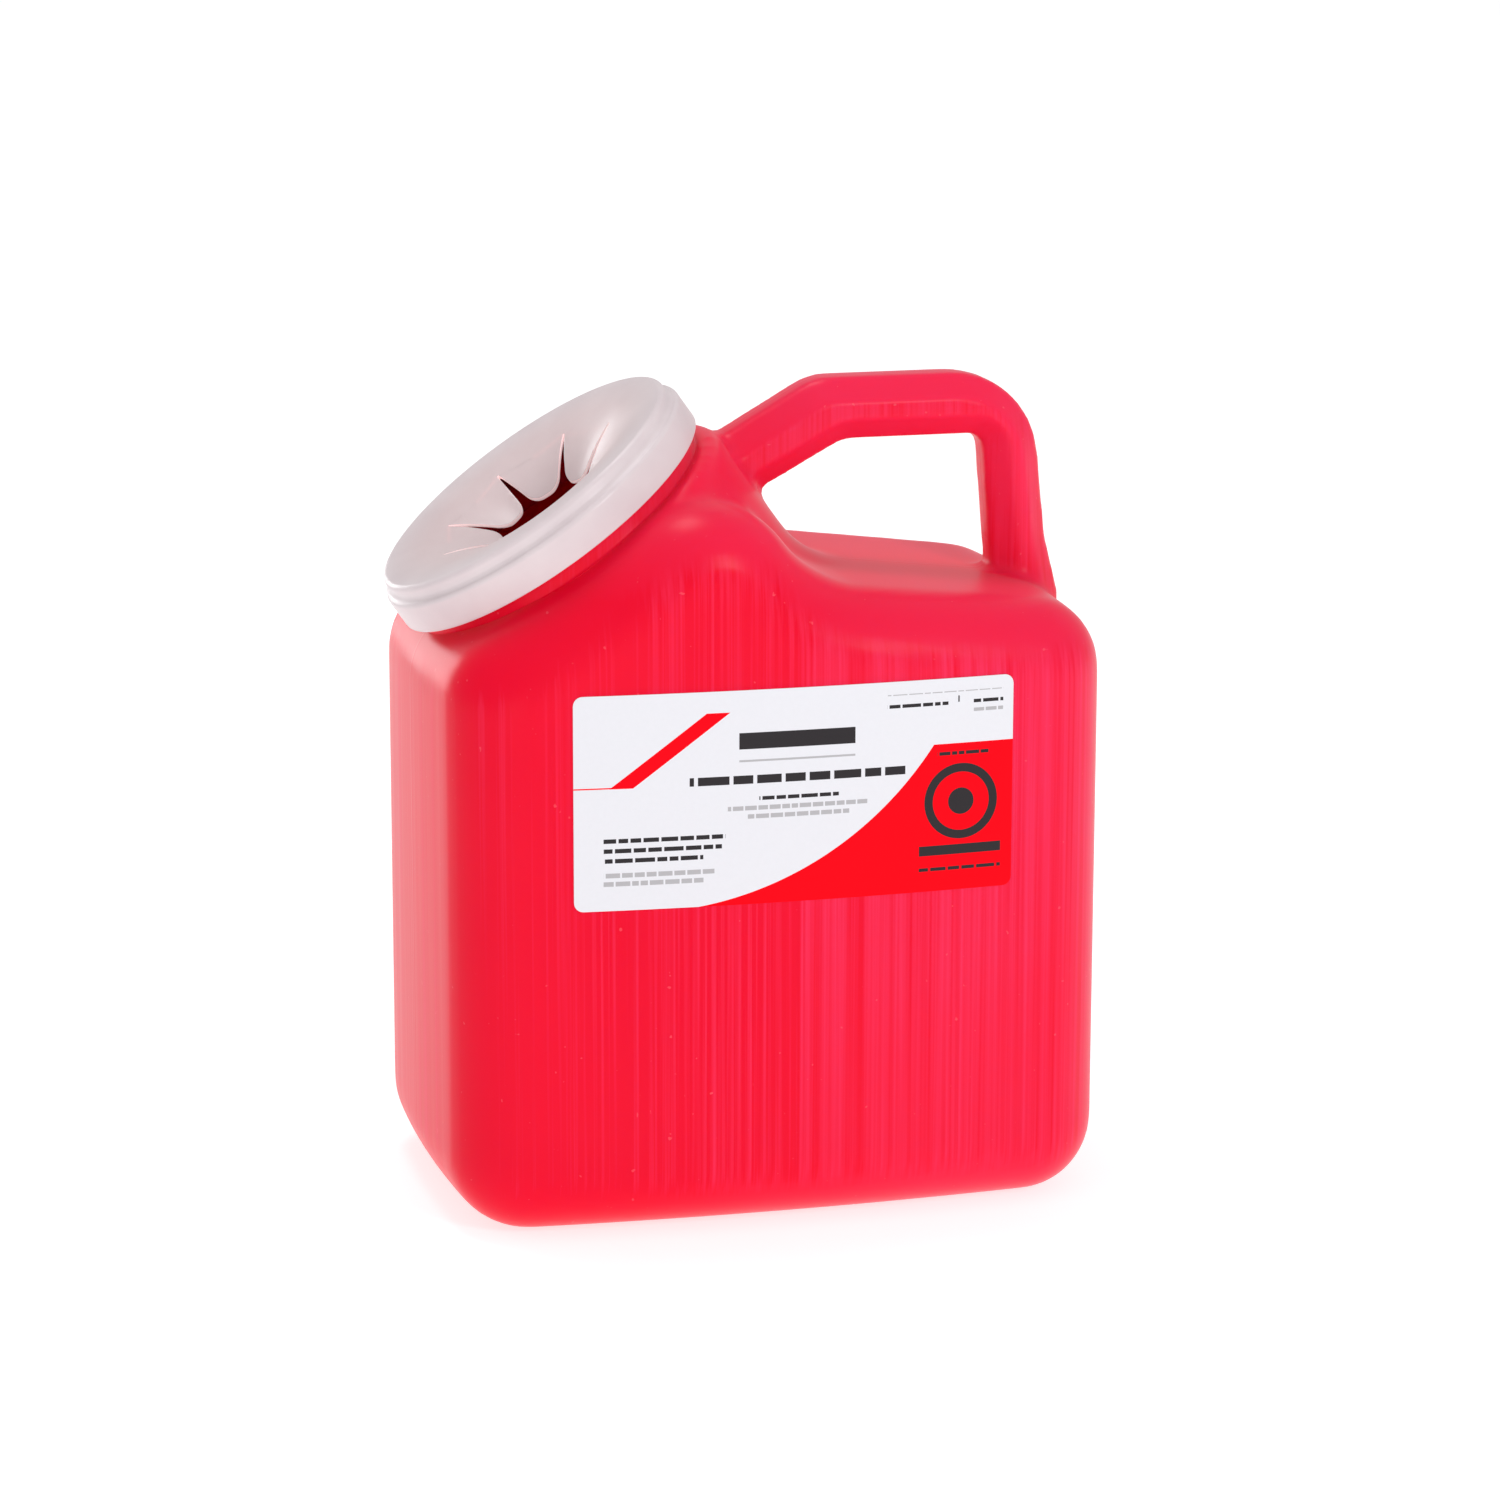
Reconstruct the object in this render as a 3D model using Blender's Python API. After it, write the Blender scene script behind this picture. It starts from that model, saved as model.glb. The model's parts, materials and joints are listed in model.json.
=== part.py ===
"""Sharps container: a blow-moulded jug with a moulded-in handle, a press-on lid and its petals.

Frame: metres, +Z up, +X towards the handle, +Y to the back. The origin is the centre of the base,
on the surface that the jug stands on. The lid's own axis leans towards -X by LID_TILT.
"""
import math

import bmesh
import bpy
from mathutils import Matrix, Vector

MM = 0.001

# ---- driving dimensions -------------------------------------------------------------------------
# Jug body, before its faces are crowned
WIDTH = 225.0 * MM
DEPTH = 142.6 * MM
SIDE_ROUND = 23.4 * MM
BASE_ROUND = 25.4 * MM
FACE_CROWN = 7.8 * MM
END_CROWN = 3.8 * MM
WALL = 1.9 * MM

# Slanted top: the lid's axis, and levels along it measured up from the skirt's lower edge
LID_TILT = math.radians(35.4)
LID_SEAT = Vector((-67.0, 0.0, 235.2)) * MM
LEDGE_LEVEL = -5.5 * MM
COLLAR_STEP = 0.1 * MM
COLLAR_RADIUS = 63.5 * MM
COLLAR_EDGE = 5.0 * MM
FLARE_START = -49.0 * MM
NECK_RADIUS = 56.5 * MM
NECK_BORE = 54.0 * MM
NECK_LIP = 15.5 * MM
NECK_FOOT = -17.5 * MM
NECK_BEAD = 1.9 * MM
NECK_BEAD_LEVEL = 5.0 * MM
CREST_ROUND = 34.0 * MM
LEFT_TOP_ROUND = 16.0 * MM

# Level shoulder under the handle
SHOULDER_LEFT = 216.0 * MM
SHOULDER_FALL = 0.119
SHOULDER_JOIN = 44.0 * MM
SHOULDER_ROUND = 25.0 * MM
FLANK_OFFSET = 55.0 * MM
FLANK_ROUND = 38.0 * MM

# Handle
HANDLE_HALF_DEPTH = 13.5 * MM
HANDLE_CHAMFER = 8.0 * MM
HANDLE_TOP = 281.6 * MM
HANDLE_HIDDEN = 188.0 * MM
HANDLE_ROUNDS = (32.0 * MM, 22.0 * MM)
GRIP_TOP = 259.9 * MM
GRIP_HIDDEN = 176.0 * MM
GRIP_ROUNDS = (3.0 * MM, 5.0 * MM, 14.0 * MM)
HIDDEN_ROUND = 1.0 * MM

# Lid
SKIRT_RADIUS = 60.9 * MM
RIM_RADIUS = 55.5 * MM
RIM_LEVEL = 17.4 * MM
FUNNEL_DROP = 9.8
LID_WALL = 1.5 * MM
SKIRT_WALL = 2.0 * MM
SKIRT_TOP = 10.2 * MM
SKIRT_BEAD_LEVEL = 2.2 * MM
PLUG_RADIUS = 53.7 * MM
PLUG_WALL = 1.4 * MM
PLUG_FOOT = 8.0 * MM

# Petals
PETAL_COUNT = 8
PETAL_PHASE = math.radians(27.2)
SLIT_ROOT_RADIUS = 36.5 * MM
PETAL_TIP_RADIUS = 17.7 * MM
PETAL_TIP_ROUND = 7.2 * MM
SLIT_WIDTH = 1.0 * MM
PETAL_THICKNESS = 1.2 * MM

# Label
LABEL_WIDTH = 152.4 * MM
LABEL_HEIGHT = 73.4 * MM
LABEL_LEFT = -76.4 * MM
LABEL_BOTTOM = 116.1 * MM
LABEL_CORNER = 3.2 * MM
LABEL_THICKNESS = 0.25 * MM

# Clearances and mesh fineness
GAP = 0.3 * MM
HINGE_GAP = 0.5 * MM
OPENING_FLARE_LEVEL = 12.6 * MM
OPENING_FLARE = 0.9
HINGE_RISE = 0.25 * MM
MERGE_DISTANCE = 0.002 * MM
ROUND_SEGMENTS = 56

# ---- derived directions -------------------------------------------------------------------------
LID_AXIS = Vector((-math.sin(LID_TILT), 0.0, math.cos(LID_TILT)))
LID_SIDE = Vector((math.cos(LID_TILT), 0.0, math.sin(LID_TILT)))
LID_FRAME = Matrix.Translation(LID_SEAT) @ Matrix.Rotation(-LID_TILT, 4, "Y")


# ---- helpers ------------------------------------------------------------------------------------
def clear_scene():
    for item in list(bpy.data.objects):
        bpy.data.objects.remove(item, do_unlink=True)


def material(name, colour, roughness):
    made = bpy.data.materials.new(name)
    made.use_nodes = True
    shader = made.node_tree.nodes["Principled BSDF"]
    shader.inputs["Base Color"].default_value = (*colour, 1.0)
    shader.inputs["Roughness"].default_value = roughness
    shader.inputs["Metallic"].default_value = 0.0
    return made


def add_object(name, mesh_data, finish=None, frame=Matrix.Identity(4)):
    mesh = bpy.data.meshes.new(name)
    mesh_data.to_mesh(mesh)
    mesh_data.free()
    made = bpy.data.objects.new(name, mesh)
    bpy.context.collection.objects.link(made)
    made.matrix_world = frame
    if finish:
        mesh.materials.append(finish)
    return made


def smooth(item, angle=40.0):
    item.data.shade_smooth()
    item.data.set_sharp_from_angle(angle=math.radians(angle))


def combine(target, tool, operation):
    """Apply a Boolean of the tool to the target and remove the tool."""
    cut = target.modifiers.new(operation, "BOOLEAN")
    cut.operation = operation
    cut.object = tool
    cut.solver = "EXACT"
    bpy.context.view_layer.update()
    bpy.context.view_layer.objects.active = target
    bpy.ops.object.modifier_apply(modifier=cut.name)
    bpy.data.objects.remove(tool, do_unlink=True)
    cleaned = bmesh.new()
    cleaned.from_mesh(target.data)
    bmesh.ops.remove_doubles(cleaned, verts=cleaned.verts, dist=MERGE_DISTANCE)
    bmesh.ops.dissolve_degenerate(cleaned, edges=cleaned.edges, dist=MERGE_DISTANCE)
    cleaned.to_mesh(target.data)
    cleaned.free()


def line_crossing(point_a, direction_a, point_b, direction_b):
    """Where two lines of the XZ plane cross."""
    determinant = direction_a.x * direction_b.y - direction_a.y * direction_b.x
    between = point_b - point_a
    along = (between.x * direction_b.y - between.y * direction_b.x) / determinant
    return point_a + direction_a * along


def rounded_outline(corners, inset=0.0, steps=6, least_round=0.4 * MM):
    """Outline of (x, z, radius) corners, anticlockwise, moved inwards and rounded."""
    points = [Vector((x, z)) for x, z, radius in corners]
    count = len(points)
    edges = [(points[(i + 1) % count] - points[i]).normalized() for i in range(count)]
    inward = [Vector((-edge.y, edge.x)) for edge in edges]
    outline = []
    for i in range(count):
        before, after = edges[i - 1], edges[i]
        corner = line_crossing(
            points[i] + inward[i - 1] * inset, before, points[i] + inward[i] * inset, after
        )
        turn = math.atan2(before.x * after.y - before.y * after.x, before.dot(after))
        side = 1 if turn > 0 else -1
        radius = max(corners[i][2] - inset * side, least_round)
        reach = radius * math.tan(abs(turn) / 2)
        start = corner - before * reach
        centre = start + inward[i - 1] * radius * side
        for k in range(steps + 1):
            swing = turn * k / steps
            arm = start - centre
            rotated = Vector((
                arm.x * math.cos(swing) - arm.y * math.sin(swing),
                arm.x * math.sin(swing) + arm.y * math.cos(swing),
            ))
            outline.append(centre + rotated)
    return outline


def loft(rings):
    """Closed solid through rings of equal length, each a list of Vectors, capped at both ends."""
    built = bmesh.new()
    rows = [[built.verts.new(point) for point in ring] for ring in rings]
    length = len(rings[0])
    for lower, upper in zip(rows, rows[1:]):
        for i in range(length):
            following = (i + 1) % length
            built.faces.new((lower[i], lower[following], upper[following], upper[i]))
    built.faces.new(list(reversed(rows[0])))
    built.faces.new(rows[-1])
    bmesh.ops.recalc_face_normals(built, faces=built.faces)
    return built


def plate(corners, section, steps=6):
    """Loft of one outline across Y; section is a list of (y, inset) levels."""
    rings = []
    for y, inset in section:
        rings.append([Vector((p.x, y, p.y)) for p in rounded_outline(corners, inset, steps)])
    return loft(rings)


def mirrored_section(half_section):
    """Levels from the outside to the middle, continued to the other side."""
    return [(-y, inset) for y, inset in half_section] + [(y, inset) for y, inset in reversed(half_section)]


def lathe(profile, segments=72):
    """Solid of revolution about +Z from a closed (radius, level) profile that stays off the axis,
    or an open one whose two ends lie on it."""
    built = bmesh.new()
    on_axis = profile[0][0] == 0.0
    columns = []
    for k in range(segments):
        angle = 2 * math.pi * k / segments
        inner = profile[1:-1] if on_axis else profile
        columns.append([
            built.verts.new((r * math.cos(angle), r * math.sin(angle), level)) for r, level in inner
        ])
    if on_axis:
        first = built.verts.new((0, 0, profile[0][1]))
        last = built.verts.new((0, 0, profile[-1][1]))
    for k in range(segments):
        here, there = columns[k], columns[(k + 1) % segments]
        pairs = len(here) - 1 if on_axis else len(here)
        for i in range(pairs):
            j = (i + 1) % len(here)
            built.faces.new((here[i], there[i], there[j], here[j]))
        if on_axis:
            built.faces.new((first, there[0], here[0]))
            built.faces.new((last, here[-1], there[-1]))
    bmesh.ops.recalc_face_normals(built, faces=built.faces)
    return built


def arc(centre, radius, start, end, steps):
    """Points of a (radius, level) profile along an arc, angles in degrees."""
    points = []
    for k in range(steps + 1):
        angle = math.radians(start + (end - start) * k / steps)
        points.append((centre[0] + radius * math.cos(angle), centre[1] + radius * math.sin(angle)))
    return points


def slice_along(built, axis, positions):
    """Add edge loops where planes at the given positions cross the mesh."""
    for position in positions:
        point = Vector((0, 0, 0))
        point[axis] = position
        normal = Vector((0, 0, 0))
        normal[axis] = 1.0
        geometry = built.verts[:] + built.edges[:] + built.faces[:]
        bmesh.ops.bisect_plane(built, geom=geometry, plane_co=point, plane_no=normal, dist=1e-6)


def crown(built):
    """Swell the wide faces in Y and the narrow ends in X, as a blown bottle does."""
    for vert in built.verts:
        x, y = vert.co.x, vert.co.y
        across = x / (WIDTH / 2)
        deep = y / (DEPTH / 2)
        vert.co.y = y + deep * FACE_CROWN * max(0.0, 1 - across * across)
        vert.co.x = x + across * END_CROWN * max(0.0, 1 - deep * deep)


# ---- jug ----------------------------------------------------------------------------------------
def body_corners():
    """Side view of the jug's body: base, right wall, shoulder, flank, slanted top, left wall."""
    half = WIDTH / 2
    ledge = LID_SEAT + LID_AXIS * LEDGE_LEVEL
    ledge_point = Vector((ledge.x, ledge.z))
    along_ledge = Vector((LID_SIDE.x, LID_SIDE.z))
    down_flank = Vector((-LID_AXIS.x, -LID_AXIS.z))
    shoulder_point = Vector((SHOULDER_JOIN, SHOULDER_LEFT))
    along_shoulder = Vector((1.0, -SHOULDER_FALL)).normalized()
    upright = Vector((0.0, 1.0))
    crest = ledge_point + along_ledge * FLANK_OFFSET
    flank_foot = line_crossing(crest, down_flank, shoulder_point, along_shoulder)
    shoulder_end = line_crossing(shoulder_point, along_shoulder, Vector((half, 0.0)), upright)
    left_top = line_crossing(ledge_point, along_ledge, Vector((-half, 0.0)), upright)
    return [
        (-half, 0.0, BASE_ROUND),
        (half, 0.0, BASE_ROUND),
        (shoulder_end.x, shoulder_end.y, SHOULDER_ROUND),
        (flank_foot.x, flank_foot.y, FLANK_ROUND),
        (crest.x, crest.y, CREST_ROUND),
        (left_top.x, left_top.y, LEFT_TOP_ROUND),
    ]


def body_solid(inset):
    """The body without its neck and handle; inset is 0 outside and WALL for the hollow."""
    corners = body_corners()
    radius = SIDE_ROUND - inset
    half = DEPTH / 2 - inset
    steps = 6
    half_section = []
    for k in range(steps + 1):
        angle = math.pi / 2 * k / steps
        y = half - radius + radius * math.cos(angle)
        half_section.append((y, inset + radius * (1 - math.sin(angle))))
    built = plate(corners, mirrored_section(half_section), steps=6)
    slice_along(built, 0, [WIDTH / 2 * t for t in (-0.75, -0.5, -0.25, 0.0, 0.25, 0.5, 0.75)])
    slice_along(built, 1, [DEPTH / 2 * t for t in (-0.4, 0.0, 0.4)])
    crown(built)
    return built


def collar_solid(inset):
    """Round collar under the neck, coaxial with the lid, flaring onto the shoulder."""
    radius = COLLAR_RADIUS - inset
    top = LEDGE_LEVEL + COLLAR_STEP - inset
    flare = FLANK_ROUND + inset
    turn = 90.0 - math.degrees(LID_TILT) - math.degrees(math.atan(SHOULDER_FALL))
    profile = [(0.0, top)]
    profile += arc((radius - COLLAR_EDGE, top - COLLAR_EDGE), COLLAR_EDGE, 90.0, 0.0, 4)
    profile += arc((radius + flare, FLARE_START), flare, 180.0, 180.0 + turn, 5)
    profile += [(0.0, profile[-1][1])]
    built = lathe(profile, segments=ROUND_SEGMENTS)
    whole = built.verts[:] + built.edges[:] + built.faces[:]
    cut = bmesh.ops.bisect_plane(
        built, geom=whole, plane_co=(-1 * MM, 0, 0), plane_no=(-1, 0, 0), clear_outer=True, dist=1e-6
    )
    rim = [item for item in cut["geom_cut"] if isinstance(item, bmesh.types.BMEdge)]
    bmesh.ops.contextual_create(built, geom=rim)
    bmesh.ops.recalc_face_normals(built, faces=built.faces)
    return built


def neck_solid():
    """Neck with the bead that holds the lid, from below the ledge to the pouring lip."""
    bead, level = NECK_BEAD, NECK_BEAD_LEVEL
    lip_round = 0.8 * MM
    profile = [(0.0, NECK_FOOT), (NECK_RADIUS, NECK_FOOT), (NECK_RADIUS, level - bead)]
    profile += [(NECK_RADIUS + bead * 0.8, level - bead * 0.3)]
    profile += [(NECK_RADIUS + bead, level + bead * 0.4), (NECK_RADIUS, level + bead * 2.2)]
    profile += arc((NECK_RADIUS - lip_round, NECK_LIP - lip_round), lip_round, 0.0, 90.0, 3)
    profile += [(0.0, NECK_LIP)]
    return lathe(profile, segments=ROUND_SEGMENTS)


def bore_solid():
    """The neck's bore, from the hollow body to above the lip."""
    foot = NECK_FOOT - WALL
    top = NECK_LIP + 20.0 * MM
    profile = [(0.0, foot), (NECK_BORE, foot), (NECK_BORE, top), (0.0, top)]
    return lathe(profile, segments=ROUND_SEGMENTS)


def handle_section(inset):
    """Soft octagon: (y, inset) levels from the front flat to the middle of the handle."""
    depth = HANDLE_HALF_DEPTH
    chamfer = HANDLE_CHAMFER
    return [
        (depth - inset, inset + chamfer + 0.6 * MM),
        (depth - inset - 0.4 * MM, inset + chamfer - 0.3 * MM),
        (depth - inset - 1.7 * MM, inset + chamfer - 1.9 * MM),
        (depth - inset - chamfer + 1.7 * MM, inset + 1.8 * MM),
        (depth - inset - chamfer - 0.2 * MM, inset + 0.4 * MM),
        (depth - inset - chamfer - 2.4 * MM, inset),
    ]


def handle_solid(inset):
    """Handle as a chamfered plate in the XZ plane with its grip opening cut out."""
    outer = [
        (-18.0 * MM, HANDLE_HIDDEN, HIDDEN_ROUND),
        (113.9 * MM, HANDLE_HIDDEN, HIDDEN_ROUND),
        (103.4 * MM, HANDLE_TOP, HANDLE_ROUNDS[0]),
        (25.6 * MM, HANDLE_TOP, HANDLE_ROUNDS[1]),
        (-18.0 * MM, 256.6 * MM, HIDDEN_ROUND),
    ]
    handle = add_object("handle", plate(outer, mirrored_section(handle_section(inset)), steps=7))
    grip = [
        (-6.0 * MM, 237.1 * MM, GRIP_ROUNDS[0]),
        (-6.0 * MM, GRIP_HIDDEN, HIDDEN_ROUND),
        (92.8 * MM, GRIP_HIDDEN, HIDDEN_ROUND),
        (86.0 * MM, GRIP_TOP, GRIP_ROUNDS[1]),
        (35.9 * MM, GRIP_TOP, GRIP_ROUNDS[2]),
    ]
    levels = [(y, -set_in) for y, set_in in handle_section(inset)]
    beyond = [(HANDLE_HALF_DEPTH + 6 * MM, levels[0][1])]
    window = add_object("grip_opening", plate(grip, mirrored_section(beyond + levels), steps=6))
    combine(handle, window, "DIFFERENCE")
    return handle


def make_jug(finish):
    jug = add_object("jug", body_solid(0.0), finish)
    combine(jug, add_object("collar", collar_solid(0.0), frame=LID_FRAME), "UNION")
    combine(jug, add_object("neck", neck_solid(), frame=LID_FRAME), "UNION")
    combine(jug, handle_solid(0.0), "UNION")
    hollow = add_object("hollow", body_solid(WALL))
    combine(hollow, add_object("collar_inside", collar_solid(WALL), frame=LID_FRAME), "UNION")
    combine(hollow, add_object("bore", bore_solid(), frame=LID_FRAME), "UNION")
    combine(hollow, handle_solid(WALL), "UNION")
    combine(jug, hollow, "DIFFERENCE")
    smooth(jug)
    return jug


# ---- lid ----------------------------------------------------------------------------------------
def funnel_level(radius):
    """Height of the funnel's upper surface: flat at the rim, steeper towards the middle."""
    return RIM_LEVEL - FUNNEL_DROP * (RIM_RADIUS - radius) ** 2


def make_lid(finish, frame_parent):
    """Skirt, rim and funnel in one ring, with an eight-sided opening for the petals.

    Under its upper edge the opening flares outwards, so that a petal's root can swing down past it.
    """
    skirt_inside = SKIRT_RADIUS - SKIRT_WALL
    skirt_edge = 1.6 * MM
    rim_edge = 2.0 * MM
    funnel_end = SLIT_ROOT_RADIUS - 6.0 * MM
    profile = [(SKIRT_RADIUS - 0.5 * MM, 0.0), (SKIRT_RADIUS, 0.6 * MM)]
    profile += arc((SKIRT_RADIUS - skirt_edge, SKIRT_TOP), skirt_edge, 0.0, 70.0, 3)
    profile += [(58.6 * MM, 12.6 * MM), (58.3 * MM, 13.8 * MM)]
    profile += arc((56.2 * MM, RIM_LEVEL - rim_edge), rim_edge, 0.0, 90.0, 4)
    steps = 7
    upper = []
    for k in range(steps + 1):
        radius = RIM_RADIUS + (funnel_end - RIM_RADIUS) * k / steps
        upper.append((radius, funnel_level(radius)))
    profile += upper
    plug_inside = PLUG_RADIUS - PLUG_WALL
    for radius, level in reversed(upper):
        if radius < plug_inside:
            profile.append((radius, level - LID_WALL))
    profile += [(plug_inside, funnel_level(plug_inside) - LID_WALL), (plug_inside, PLUG_FOOT)]
    profile += [(PLUG_RADIUS, PLUG_FOOT), (PLUG_RADIUS, NECK_LIP + GAP), (56.8 * MM, NECK_LIP + GAP)]
    profile += [(56.9 * MM, 12.4 * MM), (skirt_inside, 9.6 * MM)]
    profile += [(skirt_inside, SKIRT_BEAD_LEVEL + 0.8 * MM)]
    profile += [(skirt_inside - 0.15 * MM, SKIRT_BEAD_LEVEL)]
    profile += [(skirt_inside, SKIRT_BEAD_LEVEL - 0.8 * MM), (skirt_inside + 0.3 * MM, 0.0)]
    lid = add_object("lid_collar", lathe(profile, segments=64), finish, LID_FRAME)
    sides = []
    for level in (0.0, OPENING_FLARE_LEVEL, 40.0 * MM):
        radius = SLIT_ROOT_RADIUS + OPENING_FLARE * max(0.0, OPENING_FLARE_LEVEL - level)
        ring = []
        for k in range(PETAL_COUNT):
            angle = PETAL_PHASE + (k + 0.5) * 2 * math.pi / PETAL_COUNT
            ring.append(Vector((radius * math.cos(angle), radius * math.sin(angle), level)))
        sides.append(ring)
    combine(lid, add_object("petal_opening", loft(sides), frame=LID_FRAME), "DIFFERENCE")
    smooth(lid)
    lid.parent = frame_parent
    lid.matrix_parent_inverse = frame_parent.matrix_world.inverted()
    return lid


def hinge_distance():
    """Distance of a petal's hinge line from the lid's axis."""
    return SLIT_ROOT_RADIUS * math.cos(math.pi / PETAL_COUNT)


def petal_hinge_level():
    """The hinge line runs straight between two slit roots, just above the dished surface."""
    return funnel_level(hinge_distance()) + HINGE_RISE


def petal_rows():
    """(distance from the axis, half width) from tip to root, and the slope of the straight sides."""
    sector = math.pi / PETAL_COUNT
    root = hinge_distance()
    root_half = root * math.tan(sector) - SLIT_WIDTH / 2 / math.cos(sector)
    centre = PETAL_TIP_RADIUS + PETAL_TIP_ROUND
    reach = math.hypot(root - centre, root_half)
    lean = math.atan2(root_half, root - centre) - math.asin(PETAL_TIP_ROUND / reach)
    touch = 90.0 + math.degrees(lean)
    tip_steps = 5
    rows = []
    for k in range(tip_steps):
        angle = math.radians(172.0 + (touch - 172.0) * k / (tip_steps - 1))
        rows.append((centre + PETAL_TIP_ROUND * math.cos(angle), PETAL_TIP_ROUND * math.sin(angle)))
    touch_distance, touch_half = rows[-1]
    slope = math.tan(lean)
    side_steps = 3
    for k in range(1, side_steps + 1):
        distance = touch_distance + (root - HINGE_GAP - touch_distance) * k / side_steps
        rows.append((distance, touch_half + (distance - touch_distance) * slope))
    return rows, slope


def petal_mesh():
    """One petal about its hinge line: +X outwards, +Z up the lid's axis, undercut at the root."""
    root = hinge_distance()
    hinge_level = petal_hinge_level()
    columns = (-1.0, -0.5, 0.0, 0.5, 1.0)
    rows, slope = petal_rows()
    built = bmesh.new()
    upper, lower = [], []
    for distance, half_width in rows:
        undercut = 1.5 * PETAL_THICKNESS if distance == rows[-1][0] else 0.0
        under = distance - undercut
        under_half = half_width - undercut * slope
        top_row, under_row = [], []
        for share in columns:
            level = funnel_level(math.hypot(distance, half_width * share)) - hinge_level
            top_row.append(built.verts.new((distance - root, half_width * share, level)))
            level = funnel_level(math.hypot(under, under_half * share)) - hinge_level - PETAL_THICKNESS
            under_row.append(built.verts.new((under - root, under_half * share, level)))
        upper.append(top_row)
        lower.append(under_row)
    last = len(columns) - 1
    for i in range(len(rows) - 1):
        for j in range(last):
            built.faces.new((upper[i][j], upper[i][j + 1], upper[i + 1][j + 1], upper[i + 1][j]))
            built.faces.new((lower[i][j], lower[i + 1][j], lower[i + 1][j + 1], lower[i][j + 1]))
        for j in (0, last):
            built.faces.new((upper[i][j], upper[i + 1][j], lower[i + 1][j], lower[i][j]))
    for i in (0, len(rows) - 1):
        for j in range(last):
            built.faces.new((upper[i][j], upper[i][j + 1], lower[i][j + 1], lower[i][j]))
    bmesh.ops.recalc_face_normals(built, faces=built.faces)
    return built


def make_petals(finish, frame_parent):
    shared = add_object("petal_1", petal_mesh(), finish)
    smooth(shared)
    for k in range(PETAL_COUNT):
        petal = shared
        if k:
            petal = bpy.data.objects.new("petal_%d" % (k + 1), shared.data)
            bpy.context.collection.objects.link(petal)
        petal.parent = frame_parent
        angle = PETAL_PHASE + k * 2 * math.pi / PETAL_COUNT
        place = Matrix.Translation((hinge_distance(), 0.0, petal_hinge_level()))
        petal.matrix_local = Matrix.Rotation(angle, 4, "Z") @ place


# ---- label --------------------------------------------------------------------------------------
def make_label(finish):
    """Thin label on the front face, following its crown."""
    right = LABEL_LEFT + LABEL_WIDTH
    top = LABEL_BOTTOM + LABEL_HEIGHT
    corners = [
        (LABEL_LEFT, LABEL_BOTTOM, LABEL_CORNER),
        (right, LABEL_BOTTOM, LABEL_CORNER),
        (right, top, LABEL_CORNER),
        (LABEL_LEFT, top, LABEL_CORNER),
    ]
    back = -DEPTH / 2 - GAP
    built = plate(corners, [(back - LABEL_THICKNESS, 0.0), (back, 0.0)], steps=4)
    columns = 12
    slice_along(built, 0, [LABEL_LEFT + LABEL_WIDTH * k / columns for k in range(1, columns)])
    crown(built)
    label = add_object("front_label", built, finish)
    smooth(label, 30.0)
    return label


def main():
    clear_scene()
    red = material("jug_red", (0.86, 0.01, 0.03), 0.32)
    translucent = material("lid_white", (0.83, 0.78, 0.79), 0.35)
    paper = material("label_white", (0.88, 0.88, 0.9), 0.4)
    make_jug(red)
    lid_frame = bpy.data.objects.new("lid_frame", None)
    bpy.context.collection.objects.link(lid_frame)
    lid_frame.matrix_world = LID_FRAME
    bpy.context.view_layer.update()
    make_lid(translucent, lid_frame)
    make_petals(translucent, lid_frame)
    make_label(paper)


main()
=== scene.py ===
# %% [markdown]
# # A sharps container
#
# This notebook builds the looks of a small medical waste jug: a blow-moulded red body with a
# moulded-in handle, a translucent press-on lid whose soft petals let a needle drop in and not fall
# out, and a printed label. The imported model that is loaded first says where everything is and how
# it moves. Each step below explains one piece or one finish, and then makes it.

# %% Load the frame
import json
import math

import bmesh
import bpy
import numpy as np
from mathutils import Matrix, Vector


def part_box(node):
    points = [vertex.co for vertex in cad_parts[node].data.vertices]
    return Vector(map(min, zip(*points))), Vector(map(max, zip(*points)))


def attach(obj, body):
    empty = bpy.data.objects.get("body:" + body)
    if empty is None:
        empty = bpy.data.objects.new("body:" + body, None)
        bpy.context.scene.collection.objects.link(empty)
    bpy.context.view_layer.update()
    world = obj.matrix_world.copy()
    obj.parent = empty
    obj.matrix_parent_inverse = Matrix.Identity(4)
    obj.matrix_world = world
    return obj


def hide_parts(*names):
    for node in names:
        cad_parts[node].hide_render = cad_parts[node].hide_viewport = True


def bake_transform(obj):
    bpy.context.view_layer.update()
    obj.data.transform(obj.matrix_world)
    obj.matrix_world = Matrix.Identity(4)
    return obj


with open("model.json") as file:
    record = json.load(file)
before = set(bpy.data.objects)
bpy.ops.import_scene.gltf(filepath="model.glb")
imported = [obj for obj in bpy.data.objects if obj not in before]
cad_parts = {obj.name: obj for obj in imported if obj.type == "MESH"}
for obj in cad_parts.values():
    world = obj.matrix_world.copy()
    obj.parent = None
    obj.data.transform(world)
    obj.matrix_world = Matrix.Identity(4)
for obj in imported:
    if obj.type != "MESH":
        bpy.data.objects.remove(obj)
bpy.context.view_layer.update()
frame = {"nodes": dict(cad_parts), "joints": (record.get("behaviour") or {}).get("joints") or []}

# %% [markdown]
# ## Sizes
#
# The lid sits on a slanted neck. Its axis is the direction in which it pulls off, so it is read from
# the lid's joint. The eight petals turn about hinges that lie on a ring round that axis, so the
# middle of the ring is a point on the axis. The skirt's lower edge is level 0 along it. The other
# sizes repeat the dimensions of the jug's design, in metres.

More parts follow.
